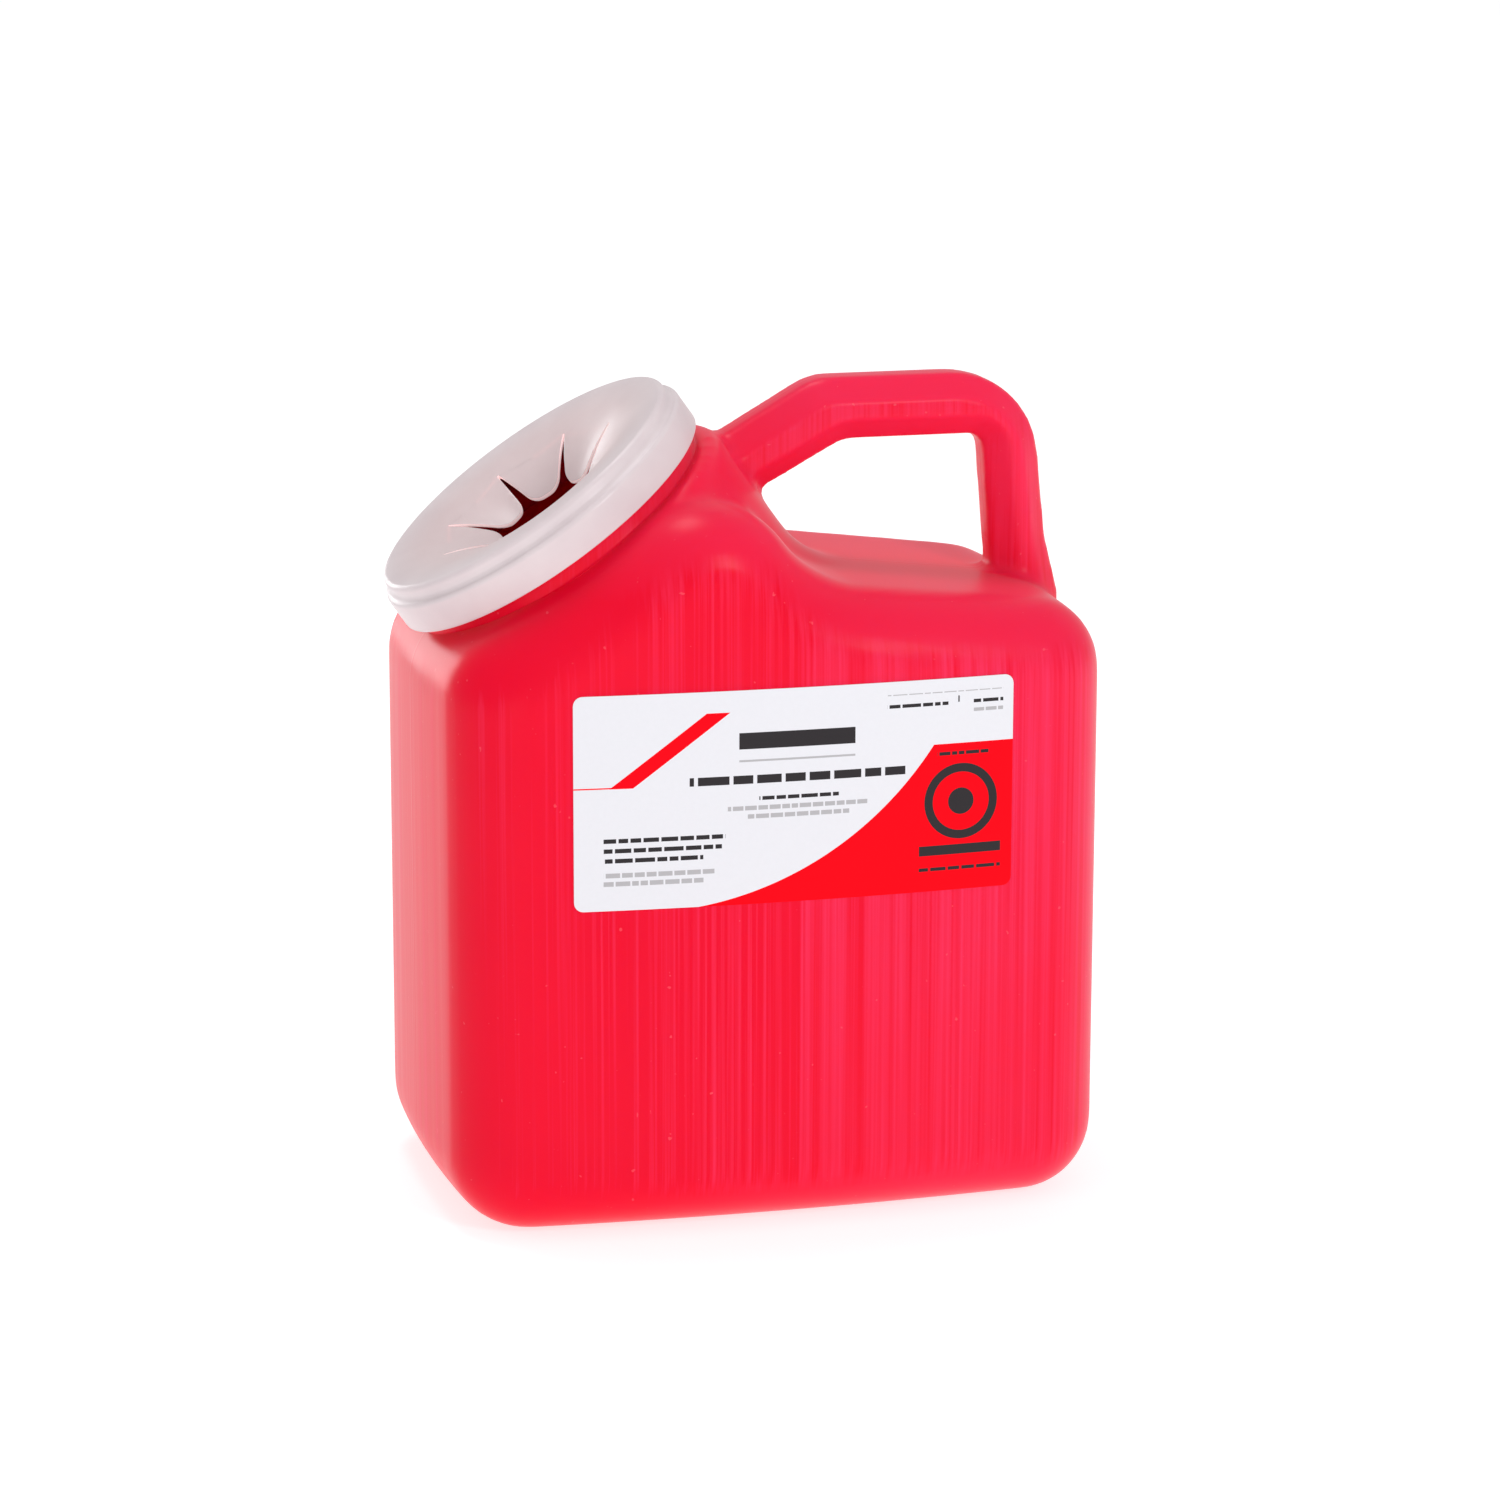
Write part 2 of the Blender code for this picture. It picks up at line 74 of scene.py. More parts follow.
# %% The lid's axis, its seat and the petals' hinges
MM = 0.001
joints = {joint["name"]: joint for joint in frame["joints"]}
lid_axis = Vector(joints["lid_lift"]["axis"]).normalized()
petal_names = sorted(name for name in frame["nodes"] if name.startswith("petal_"))
hinge_points = [Vector(joints[name + "_flex"]["pos_m"]) for name in petal_names]
ring_middle = sum(hinge_points, Vector()) / len(hinge_points)

skirt_levels = [(v.co - ring_middle).dot(lid_axis) for v in frame["nodes"]["lid_collar"].data.vertices]
lid_seat = ring_middle + lid_axis * min(skirt_levels)
lid_tilt = math.atan2(-lid_axis.x, lid_axis.z)
lid_place = Matrix.Translation(lid_seat) @ Matrix.Rotation(-lid_tilt, 4, "Y")
lid_across = Vector((lid_axis.z, 0.0, -lid_axis.x))
hinge_distance = sum((point - ring_middle).length for point in hinge_points) / len(hinge_points)
print("lid tilt", round(math.degrees(lid_tilt), 2), "degrees, petals", len(petal_names))
print("hinge ring radius", round(hinge_distance * 1000, 2), "mm")

# %% The jug's driving dimensions
WIDTH = 225.0 * MM
DEPTH = 142.6 * MM
SIDE_ROUND = 23.4 * MM
BASE_ROUND = 25.4 * MM
FACE_CROWN = 7.8 * MM
END_CROWN = 3.8 * MM
WALL = 1.9 * MM

LEDGE_LEVEL = -5.5 * MM
FLANK_OFFSET = 55.0 * MM
SHOULDER_FALL = 0.119
SHOULDER_POINT = Vector((44.0, 216.0)) * MM

ledge = lid_seat + lid_axis * LEDGE_LEVEL
ledge_point = Vector((ledge.x, ledge.z))
along_ledge = Vector((lid_across.x, lid_across.z))
down_flank = Vector((-lid_axis.x, -lid_axis.z))
print("ledge passes through", [round(v * 1000, 1) for v in ledge_point])

# %% [markdown]
# ## Tools of the trade
#
# Operators act on whatever is selected, so every step begins by clearing the selection. In edit mode
# faces and edges are picked by where they are, never by number, which keeps the steps readable and
# lets a size change without breaking them.

# %% Selecting by place
def leave_edit_mode():
    if bpy.context.object and bpy.context.object.mode == "EDIT":
        bpy.ops.object.mode_set(mode="OBJECT")


def take(*pieces):
    """Select only these pieces; the last one becomes the active one."""
    leave_edit_mode()
    bpy.ops.object.select_all(action="DESELECT")
    for piece in pieces:
        piece.select_set(True)
    bpy.context.view_layer.objects.active = pieces[-1]


def edit(piece):
    take(piece)
    bpy.ops.object.mode_set(mode="EDIT")


def pick(kind, test):
    """In edit mode, select only the VERT, EDGE or FACE parts that pass the test."""
    bpy.ops.mesh.select_mode(type=kind)
    bpy.ops.mesh.select_all(action="DESELECT")
    mesh = bpy.context.object.data
    shape = bmesh.from_edit_mesh(mesh)
    parts = {"VERT": shape.verts, "EDGE": shape.edges, "FACE": shape.faces}[kind]
    chosen = [part for part in parts if test(part)]
    for part in chosen:
        part.select_set(True)
    shape.select_flush_mode()
    bmesh.update_edit_mesh(mesh)
    return len(chosen)


def name_new(name):
    """Name the primitive that was just added and apply its place to its mesh."""
    piece = bpy.context.object
    piece.name = name
    piece.data.name = name
    bpy.ops.object.transform_apply(location=True, rotation=True, scale=True)
    return piece


def settle(piece, place):
    """Put a finished shape in its place and apply that to its mesh."""
    leave_edit_mode()
    piece.matrix_world = place
    take(piece)
    bpy.ops.object.transform_apply(location=True, rotation=True, scale=True)


def triangles(piece):
    return sum(len(face.vertices) - 2 for face in piece.data.polygons)


# %% Modifiers, applied at once
def apply_modifier(piece, kind, **settings):
    take(piece)
    modifier = piece.modifiers.new(kind.title(), kind)
    for key, value in settings.items():
        setattr(modifier, key, value)
    bpy.ops.object.modifier_apply(modifier=modifier.name)


def cut_or_add(piece, tool, operation):
    """Boolean with a closed tool shape, which is then thrown away."""
    apply_modifier(piece, "BOOLEAN", object=tool, operation=operation, solver="EXACT")
    bpy.data.objects.remove(tool, do_unlink=True)


# %% Drawing an outline by extruding a single vertex
def draw_line(name, points, closed=False):
    """A chain of edges through points, drawn by extruding a vertex from one to the next."""
    leave_edit_mode()
    bpy.ops.object.select_all(action="DESELECT")
    bpy.ops.mesh.primitive_plane_add(size=MM)
    piece = name_new(name)
    bpy.ops.object.mode_set(mode="EDIT")
    bpy.ops.mesh.select_mode(type="VERT")
    bpy.ops.mesh.select_all(action="SELECT")
    bpy.ops.mesh.merge(type="CENTER")
    bpy.ops.transform.translate(value=points[0])
    for before, after in zip(points, points[1:]):
        bpy.ops.mesh.extrude_region_move(TRANSFORM_OT_translate={"value": after - before})
    bpy.ops.mesh.select_all(action="SELECT")
    if closed:
        bpy.ops.mesh.edge_face_add()
    return piece


def turn(name, profile, steps, place):
    """A ring turned from a closed (radius, level) profile about the lid's axis."""
    points = [Vector((radius, 0.0, level)) for radius, level in profile]
    piece = draw_line(name, points + [points[0]])
    bpy.ops.mesh.remove_doubles(threshold=0.001 * MM)
    bpy.ops.mesh.select_all(action="SELECT")
    bpy.ops.mesh.spin(steps=steps, angle=2 * math.pi, center=(0, 0, 0), axis=(0, 0, 1))
    bpy.ops.mesh.select_all(action="SELECT")
    bpy.ops.mesh.remove_doubles(threshold=0.001 * MM)
    bpy.ops.mesh.normals_make_consistent(inside=False)
    settle(piece, place)
    return piece


def arc(centre, radius, start, end, steps):
    """Points of a profile along an arc, angles in degrees."""
    angles = [math.radians(start + (end - start) * k / steps) for k in range(steps + 1)]
    return [(centre[0] + radius * math.cos(a), centre[1] + radius * math.sin(a)) for a in angles]


# %% [markdown]
# ## The body
#
# A blow-moulded bottle starts as a soft tube of plastic that air pushes against the mould. Nothing
# on it is sharp and nothing is quite flat: the wide faces swell a little, and every edge is a large
# radius. The body is blocked out as a cube. Two cuts split its top, the new edges are lifted into
# the slanted hump that carries the neck, and each edge then gets its own radius. Drawing the side
# view and extruding it would do the same, but lifting edges shows how the hump belongs to the box.

# %% Where the slanted planes meet
def crossing(point_a, direction_a, point_b, direction_b):
    """Where two lines of the side view cross."""
    span = direction_a.x * direction_b.y - direction_a.y * direction_b.x
    between = point_b - point_a
    return point_a + direction_a * ((between.x * direction_b.y - between.y * direction_b.x) / span)


half_width = WIDTH / 2
along_shoulder = Vector((1.0, -SHOULDER_FALL)).normalized()
upright = Vector((0.0, 1.0))
crest = ledge_point + along_ledge * FLANK_OFFSET
flank_foot = crossing(crest, down_flank, SHOULDER_POINT, along_shoulder)
shoulder_end = crossing(SHOULDER_POINT, along_shoulder, Vector((half_width, 0)), upright)
left_top = crossing(ledge_point, along_ledge, Vector((-half_width, 0)), upright)
print("crest", [round(v * 1000, 1) for v in crest], "flank foot", [round(v * 1000, 1) for v in flank_foot])

# %% Block out the body
leave_edit_mode()
bpy.ops.mesh.primitive_cube_add(
    size=1.0, location=(0, 0, left_top.y / 2), scale=(WIDTH, DEPTH, left_top.y)
)
jug = name_new("jug_shell")
edit(jug)
for corner in (flank_foot, crest):
    bpy.ops.mesh.select_all(action="SELECT")
    bpy.ops.mesh.bisect(plane_co=(corner.x, 0, 0), plane_no=(1, 0, 0))
near = 0.01 * MM
for corner in (flank_foot, crest, shoulder_end):
    pick("VERT", lambda v: abs(v.co.x - corner.x) < near and v.co.z > near)
    bpy.ops.transform.translate(value=(0, 0, corner.y - left_top.y))
bpy.ops.mesh.select_all(action="SELECT")
bpy.ops.mesh.dissolve_limited(angle_limit=math.radians(0.5))
print("blocked out with", len(bmesh.from_edit_mesh(jug.data).faces), "faces")

# %% [markdown]
# ### Radii
#
# Each of the six edges that run from front to back gets the radius that the mould has there, with
# the large one where the flank runs down into the shoulder. The bevel tool wants the distance from
# the old edge to the new one. That is the radius times the tangent of half the turn. Then the whole
# outline is rounded on both wide sides.

# %% Round the six edges of the side view
corners = [Vector((-half_width, 0)), Vector((half_width, 0)), shoulder_end, flank_foot, crest, left_top]
edge_rounds = [BASE_ROUND, BASE_ROUND, 25.0 * MM, 38.0 * MM, 34.0 * MM, 24.0 * MM]
for k, (corner, radius) in enumerate(zip(corners, edge_rounds)):
    before = (corner - corners[k - 1]).normalized()
    after = (corners[(k + 1) % len(corners)] - corner).normalized()
    turned = math.acos(max(-1.0, min(1.0, before.dot(after))))
    found = pick("EDGE", lambda e: all(
        (Vector((v.co.x, v.co.z)) - corner).length < near for v in e.verts
    ))
    bpy.ops.mesh.bevel(
        offset=radius * math.tan(turned / 2), segments=20, profile=0.5, affect="EDGES", clamp_overlap=False
    )
    print("edge", k, "found", found, "turn", round(math.degrees(turned)), "radius", round(radius * 1000))

# %% Round both wide sides
pick("EDGE", lambda e: all(abs(v.co.y) > DEPTH / 2 - near for v in e.verts) and e.calc_face_angle() > 0.5)
bpy.ops.mesh.bevel(offset=SIDE_ROUND, segments=20, profile=0.5, affect="EDGES", clamp_overlap=False)
bpy.ops.object.mode_set(mode="OBJECT")
print("body faces", len(jug.data.polygons))

# %% [markdown]
# ### Crown
#
# Air pressure and the cooling plastic leave a wide face slightly domed, 7.8 mm proud in the middle
# here. A face can only bend where it has edges, so it is first sliced into narrow strips. A lattice
# could push the dome out, but a parabola is exact and keeps the label's seat known, so the points are
# moved by formula.

# %% Slice the faces and swell them
edit(jug)
STRIP = 5.0 * MM
for axis, reach in ((0, half_width), (1, DEPTH / 2)):
    count = int(reach / STRIP)
    for k in range(-count, count + 1):
        place, facing = Vector(), Vector()
        place[axis], facing[axis] = k * STRIP + 0.013 * MM, 1.0
        bpy.ops.mesh.select_all(action="SELECT")
        bpy.ops.mesh.bisect(plane_co=place, plane_no=facing)
bpy.ops.object.mode_set(mode="OBJECT")


def crown(piece):
    """Swell wide faces in Y and narrow ends in X."""
    points = np.empty(len(piece.data.vertices) * 3)
    piece.data.vertices.foreach_get("co", points)
    points = points.reshape(-1, 3)
    across = points[:, 0] / half_width
    deep = points[:, 1] / (DEPTH / 2)
    points[:, 1] += deep * FACE_CROWN * np.maximum(0, 1 - across ** 2)
    points[:, 0] += across * END_CROWN * np.maximum(0, 1 - deep ** 2)
    piece.data.vertices.foreach_set("co", points.ravel())
    piece.data.update()


crown(jug)
print("crowned body faces", len(jug.data.polygons))

# %% [markdown]
# ## The collar
#
# Under the neck a round collar runs down into the shoulder, coaxial with the lid. A round shape is
# drawn as half of its section and spun about its axis, which is how it would be turned on a lathe.
# Only the half towards the handle stands proud of the body, so the other half is cut away.

# %% Turn the collar
COLLAR_RADIUS = 63.5 * MM
COLLAR_EDGE = 5.0 * MM
FLARE_ROUND = 38.0 * MM
FLARE_START = -49.0 * MM
collar_top = LEDGE_LEVEL + 0.1 * MM
flare_turn = 90.0 - math.degrees(lid_tilt) - math.degrees(math.atan(SHOULDER_FALL))
core = 5.0 * MM
profile = [(core, collar_top)]
profile += arc((COLLAR_RADIUS - COLLAR_EDGE, collar_top - COLLAR_EDGE), COLLAR_EDGE, 90, 0, 6)
profile += arc((COLLAR_RADIUS + FLARE_ROUND, FLARE_START), FLARE_ROUND, 180, 180 + flare_turn, 14)
profile += [(core, profile[-1][1])]
collar = turn("collar", profile, 96, Matrix.Identity(4))
edit(collar)
bpy.ops.mesh.select_all(action="SELECT")
bpy.ops.mesh.bisect(
    plane_co=(-1 * MM, 0, 0), plane_no=(-1, 0, 0), clear_outer=True, use_fill=True
)
settle(collar, lid_place)
print("collar faces", len(collar.data.polygons))

# %% [markdown]
# ## Blending the body
#
# The mould has no seams between these shapes: they flow together. Joining the two meshes and
# rebuilding them as one skin of small even squares gives a surface that can be smoothed as if it
# were clay, which makes the fillets by itself. A Boolean with bevelled edges would need every fillet
# drawn.

# %% Melt the collar into the body
take(collar, jug)
bpy.ops.object.join()
SKIN = 1.9 * MM
apply_modifier(jug, "REMESH", mode="VOXEL", voxel_size=SKIN, use_smooth_shade=True)
apply_modifier(jug, "SMOOTH", factor=0.5, iterations=10)
print("blended body triangles", triangles(jug))

# %% [markdown]
# ## The handle
#
# The handle is hollow and moulded with the body. Its section is a soft octagon, flat on top, on the
# sides and underneath, with broad chamfers between. So it begins as a flat plate with the grip cut
# out, and one bevel along every outline makes the chamfers. A tube swept along a path would have
# trouble where the handle widens into the hump.

# %% Cut the handle from a plate
HANDLE_HALF_DEPTH = 13.5 * MM
HANDLE_CHAMFER = 8.0 * MM
handle_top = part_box("jug")[1].z


def rounded(corners_mm, steps=8):
    """Outline in the side view from (x, z, radius) corners in millimetres, each an arc."""
    points = [Vector((x, z)) * MM for x, z, radius in corners_mm]
    outline = []
    for k, (x, z, radius) in enumerate(corners_mm):
        point = points[k]
        before = (point - points[k - 1]).normalized()
        after = (points[(k + 1) % len(points)] - point).normalized()
        turned = math.atan2(before.x * after.y - before.y * after.x, before.dot(after))
        side = 1 if turned > 0 else -1
        start = point - before * radius * MM * math.tan(abs(turned) / 2)
        centre = start + Vector((-before.y, before.x)) * radius * MM * side
        for step in range(steps + 1):
            swung = Matrix.Rotation(turned * step / steps, 2) @ (start - centre)
            outline.append(centre + swung)
    return outline


def plate(name, corners_mm, half_depth):
    """A plate of this outline, from front to back."""
    outline = [Vector((p.x, -half_depth, p.y)) for p in rounded(corners_mm)]
    piece = draw_line(name, outline + [outline[0]])
    bpy.ops.mesh.remove_doubles(threshold=0.001 * MM)
    bpy.ops.mesh.select_all(action="SELECT")
    bpy.ops.mesh.edge_face_add()
    bpy.ops.mesh.extrude_region_move(TRANSFORM_OT_translate={"value": (0, 2 * half_depth, 0)})
    bpy.ops.mesh.select_all(action="SELECT")
    bpy.ops.mesh.normals_make_consistent(inside=False)
    leave_edit_mode()
    return piece


top_mm = handle_top / MM
handle = plate("handle", [
    (-40, 176, 0), (114.5, 176, 0), (114.5, 203, 0), (109.5, 223, 14),
    (103.4, top_mm, 32), (25.6, top_mm, 22), (-40, 244.0, 0),
], HANDLE_HALF_DEPTH)
grip = plate("grip", [
    (-6, 237.1, 3), (-6, 160, 0), (94.1, 160, 0), (86, 259.9, 5), (35.9, 259.9, 14),
], 2 * HANDLE_HALF_DEPTH)
cut_or_add(handle, grip, "DIFFERENCE")
edit(handle)
pick("EDGE", lambda e: all(abs(v.co.y) > HANDLE_HALF_DEPTH - near for v in e.verts) and (
    len(e.link_faces) == 2 and e.calc_face_angle() > 0.5
))
bpy.ops.mesh.bevel(offset=HANDLE_CHAMFER, segments=1, affect="EDGES", clamp_overlap=False)
leave_edit_mode()
print("handle faces", len(handle.data.polygons))

# %% [markdown]
# ## One hollow shell
#
# The handle is melted into the body the same way, with only a little smoothing, so its chamfers stay
# readable. Then the roots of the handle get some more. The neck that carries the lid is a machined
# shape in the mould and stays crisp, so it is turned and added after the smoothing. A copy of the
# outside, moved in by the wall, gives the hollow. It is subtracted together with the bore of the neck.

# %% Melt the handle in
take(handle, jug)
bpy.ops.object.join()
apply_modifier(jug, "REMESH", mode="VOXEL", voxel_size=SKIN, use_smooth_shade=True)
apply_modifier(jug, "SMOOTH", factor=0.5, iterations=3)


def soften(piece, centre, reach, rounds):
    """Smooth a patch around a point; the effect fades out towards its rim."""
    group = piece.vertex_groups.new(name="soften")
    count = len(piece.data.vertices)
    points = np.empty(count * 3)
    piece.data.vertices.foreach_get("co", points)
    away = np.linalg.norm(points.reshape(-1, 3) - np.array(centre), axis=1) / reach
    for vertex in np.flatnonzero(away < 1):
        group.add([int(vertex)], float(min(1.0, 2 * (1 - away[vertex]))), "REPLACE")
    apply_modifier(piece, "SMOOTH", factor=0.5, iterations=rounds, vertex_group="soften")
    piece.vertex_groups.remove(piece.vertex_groups["soften"])


for side in (-1, 1):
    step_place = lid_place @ Vector((0, side * COLLAR_RADIUS, LEDGE_LEVEL - 12 * MM))
    soften(jug, step_place, 22 * MM, 14)
    soften(jug, (flank_foot.x - 4 * MM, side * HANDLE_HALF_DEPTH, 0.236), 16 * MM, 8)
    soften(jug, (96 * MM, side * HANDLE_HALF_DEPTH, 0.214), 18 * MM, 8)
print("outside triangles", triangles(jug))

# %% Make the hollow and the neck
inner = jug.copy()
inner.data = jug.data.copy()
inner.name = "hollow"
bpy.context.collection.objects.link(inner)
edit(inner)
bpy.ops.mesh.select_all(action="SELECT")
bpy.ops.transform.shrink_fatten(value=-WALL)
leave_edit_mode()
apply_modifier(inner, "REMESH", mode="VOXEL", voxel_size=3.8 * MM, use_smooth_shade=True)
apply_modifier(inner, "SMOOTH", factor=0.5, iterations=2)

NECK_RADIUS = 56.5 * MM
NECK_BORE = 54.0 * MM
NECK_LIP = 15.5 * MM
BEAD = 1.9 * MM
NECK_FILLET = 0.9 * MM
LIP_ROUND = 0.8 * MM
bead_level = 5.0 * MM
neck_foot = LEDGE_LEVEL - 6 * MM
neck_profile = [(NECK_BORE, neck_foot), (NECK_RADIUS + NECK_FILLET, neck_foot)]
neck_profile += [(NECK_RADIUS + NECK_FILLET, LEDGE_LEVEL)]
neck_profile += arc((NECK_RADIUS + NECK_FILLET, LEDGE_LEVEL + NECK_FILLET), NECK_FILLET, 270, 180, 4)
neck_profile += [(NECK_RADIUS, bead_level - BEAD)]
neck_profile += arc((NECK_RADIUS, bead_level), BEAD, -70, 70, 8)
neck_profile += arc((NECK_RADIUS - LIP_ROUND, NECK_LIP - LIP_ROUND), LIP_ROUND, 0, 90, 4)
neck_profile += arc((NECK_BORE + LIP_ROUND, NECK_LIP - LIP_ROUND), LIP_ROUND, 90, 180, 4)
neck = turn("neck", neck_profile, 128, lid_place)
bore = turn("bore", [
    (0.0, -24 * MM), (NECK_BORE - 2 * MM, -24 * MM),
    (NECK_BORE, -17.5 * MM), (NECK_BORE, 40 * MM), (0.0, 40 * MM),
], 128, lid_place)
cut_or_add(jug, neck, "UNION")
cut_or_add(jug, inner, "DIFFERENCE")
cut_or_add(jug, bore, "DIFFERENCE")
print("jug triangles", triangles(jug))


# %% Smooth shading with crisp corners
def shade(piece, corner=35):
    """Smooth shading, but edges that turn more than this many degrees stay crisp."""
    piece.data.shade_smooth()
    piece.data.set_sharp_from_angle(angle=math.radians(corner))


shade(jug, 62)

# %% [markdown]
# ## The lid
#
# The lid is one thin moulding. A straight skirt presses over the neck, a soft valley separates it
# from the rounded rim, and the rim rolls over into a shallow funnel. The funnel is a parabola: flat
# at the rim and steeper towards the middle. The ring is turned from that section. Then an eight-sided
# hole is cut, with one side for the hinge line of each petal.

# %% Turn the lid and cut the mouth
RIM_RADIUS = 55.5 * MM
RIM_LEVEL = 17.3 * MM
FUNNEL_BEND = 9.8
SHEET = 1.5 * MM
SLIT_ROOT = hinge_distance / math.cos(math.pi / len(petal_names))


def funnel(radius):
    """Level of the funnel's upper face at a distance from the axis."""
    return RIM_LEVEL - FUNNEL_BEND * (RIM_RADIUS - radius) ** 2


lid_profile = [(60.15 * MM, 0.0)] + arc((60.15 * MM, 0.55 * MM), 0.55 * MM, -60, 0, 3)
lid_profile += arc((58.5 * MM, 10.0 * MM), 2.2 * MM, 0, 62, 8)
lid_profile += arc((60.7 * MM, 14.15 * MM), 2.5 * MM, 242, 192, 6)
lid_profile += arc((56.15 * MM, 15.2 * MM), 2.1 * MM, 2, 88, 12)
for step in range(27):
    radius = 55.6 * MM - step * MM
    lid_profile.append((radius, funnel(radius)))
for step in range(24):
    radius = 29.6 * MM + step * MM
    lid_profile.append((radius, funnel(radius) - SHEET))
lid_profile += [(52.7 * MM, 8.4 * MM), (53.1 * MM, 8.0 * MM)]
lid_profile += [(53.7 * MM, 8.6 * MM), (53.7 * MM, 15.6 * MM)]
lid_profile += [(56.6 * MM, 15.7 * MM), (56.9 * MM, 12.4 * MM)]
lid_profile += [(58.9 * MM, 9.6 * MM), (58.9 * MM, 3.0 * MM)]
lid_profile += [(58.75 * MM, 2.2 * MM), (58.9 * MM, 1.4 * MM), (59.2 * MM, 0.0)]
lid = turn("lid_shell", lid_profile, 160, Matrix.Identity(4))

inward = lid_place.inverted()
mid_rays = {}
for name, point in zip(petal_names, hinge_points):
    local = inward @ point
    mid_rays[name] = math.atan2(local.y, local.x)
first_ray = mid_rays[petal_names[0]]
bpy.ops.mesh.primitive_cylinder_add(
    vertices=len(petal_names), radius=SLIT_ROOT, depth=80 * MM,
    rotation=(0, 0, first_ray - math.pi / 2 + math.pi / len(petal_names)),
)
mouth = name_new("mouth")
corner_angle = math.degrees(math.atan2(mouth.data.vertices[0].co.y, mouth.data.vertices[0].co.x))
print("mouth corner at", round(corner_angle, 1), "degrees")
print("first petal's middle at", round(math.degrees(first_ray), 1), "degrees")
cut_or_add(lid, mouth, "DIFFERENCE")
settle(lid, lid_place)
shade(lid, 40)
print("lid triangles", triangles(lid))

# %% [markdown]
# ## The petals
#
# Eight soft petals close the mouth. Each is drawn flat as half an outline, mirrored, filled, sliced
# into small faces, dropped onto the funnel and given its thickness. The slit between two petals opens
# from a hair at its root to a few millimetres at the tips. A petal is part of the lid's own sheet, so
# it bends along the hinge line and doesn't turn like a door.

# %% One petal, flat
PETAL_TIP = 17.7 * MM
PETAL_TIP_ROUND = 5.8 * MM
PETAL_SHEET = 1.25 * MM
half_turn = math.pi / len(petal_names)
root_half = hinge_distance * math.tan(half_turn) - 0.3 * MM
side_slope = math.tan(half_turn) + 0.11
side_turn = math.atan(side_slope)
knee = PETAL_TIP + PETAL_TIP_ROUND
touch = knee - PETAL_TIP_ROUND * math.sin(side_turn)
touch_half = root_half - (hinge_distance - touch) * side_slope
tip_half = touch_half - PETAL_TIP_ROUND * math.cos(side_turn)


def petal_outline():
    """Half of a petal's outline, from the middle of its root round to the middle of its tip."""
    centre = Vector((knee, max(0.0, tip_half)))
    points = [Vector((hinge_distance, 0)), Vector((hinge_distance, root_half))]
    reach = PETAL_TIP_ROUND
    start = math.pi / 2 + side_turn
    points += [
        centre + Vector((math.cos(a), math.sin(a))) * reach
        for a in np.linspace(start, math.pi, 10)
    ]
    points.append(Vector((knee - reach, 0)))
    return points


half = petal_outline()
flat = [Vector((p.x, p.y, 0)) for p in half] + [Vector((p.x, -p.y, 0)) for p in reversed(half[1:-1])]
blank = draw_line("petal_blank", flat, closed=True)
for axis, pace in ((0, 1.2 * MM), (1, 1.5 * MM)):
    for k in range(-12, 14):
        start, facing = Vector((26 * MM, 0, 0)), Vector()
        facing[axis] = 1.0
        start[axis] += k * pace + 0.011 * MM
        bpy.ops.mesh.select_all(action="SELECT")
        bpy.ops.mesh.bisect(plane_co=start, plane_no=facing)
leave_edit_mode()
print("flat petal faces", len(blank.data.polygons))

# %% Drop it on the funnel and thicken it
for vertex in blank.data.vertices:
    vertex.co.z = funnel(math.hypot(vertex.co.x, vertex.co.y))
edit(blank)
bpy.ops.mesh.select_all(action="SELECT")
bpy.ops.mesh.extrude_region_move(TRANSFORM_OT_translate={"value": (0, 0, -PETAL_SHEET)})
bpy.ops.mesh.select_all(action="SELECT")
bpy.ops.mesh.normals_make_consistent(inside=False)
pick("EDGE", lambda e: (
    len(e.link_faces) == 2 and e.calc_face_angle() > 0.8 and e.is_convex
    and max(v.co.x for v in e.verts) < hinge_distance - near
    and abs(e.verts[0].co.z - e.verts[1].co.z) < 0.8 * PETAL_SHEET
))
bpy.ops.mesh.bevel(offset=0.25 * MM, segments=2, profile=0.5, affect="EDGES", clamp_overlap=True)
leave_edit_mode()
print("petal triangles", triangles(blank))

# %% Eight copies round the lid
petals = []
for name in petal_names:
    petal = blank.copy()
    petal.data = blank.data.copy()
    petal.name = name + "_sheet"
    bpy.context.collection.objects.link(petal)
    settle(petal, lid_place @ Matrix.Rotation(mid_rays[name], 4, "Z"))
    shade(petal, 40)
    petals.append(petal)
bpy.data.objects.remove(blank, do_unlink=True)
print("petals", [petal.name for petal in petals])

# %% [markdown]
# ## The label
#
# A printed film is stuck to the front. It is drawn flat with round corners, sliced into upright strips
# and crowned with the very function that crowned the body, so it lies on the face everywhere.

# %% Cut the label and lay it on the face
LABEL_LEFT = -76.4
LABEL_WIDE = 152.4
LABEL_FOOT = 116.1
LABEL_HIGH = 73.4
LABEL_CORNER = 3.2
label_line = rounded([
    (LABEL_LEFT, LABEL_FOOT, LABEL_CORNER),
    (LABEL_LEFT + LABEL_WIDE, LABEL_FOOT, LABEL_CORNER),
    (LABEL_LEFT + LABEL_WIDE, LABEL_FOOT + LABEL_HIGH, LABEL_CORNER),
    (LABEL_LEFT, LABEL_FOOT + LABEL_HIGH, LABEL_CORNER),
], steps=6)
LABEL_GAP = 0.06 * MM
LABEL_SHEET = 0.18 * MM
label = draw_line("label_film", [Vector((p.x, -DEPTH / 2, p.y)) for p in label_line], closed=True)
for k in range(38):
    bpy.ops.mesh.select_all(action="SELECT")
    bpy.ops.mesh.bisect(plane_co=((LABEL_LEFT + 2 + 4 * k) * MM, 0, 0), plane_no=(1, 0, 0))
leave_edit_mode()
crown(label)
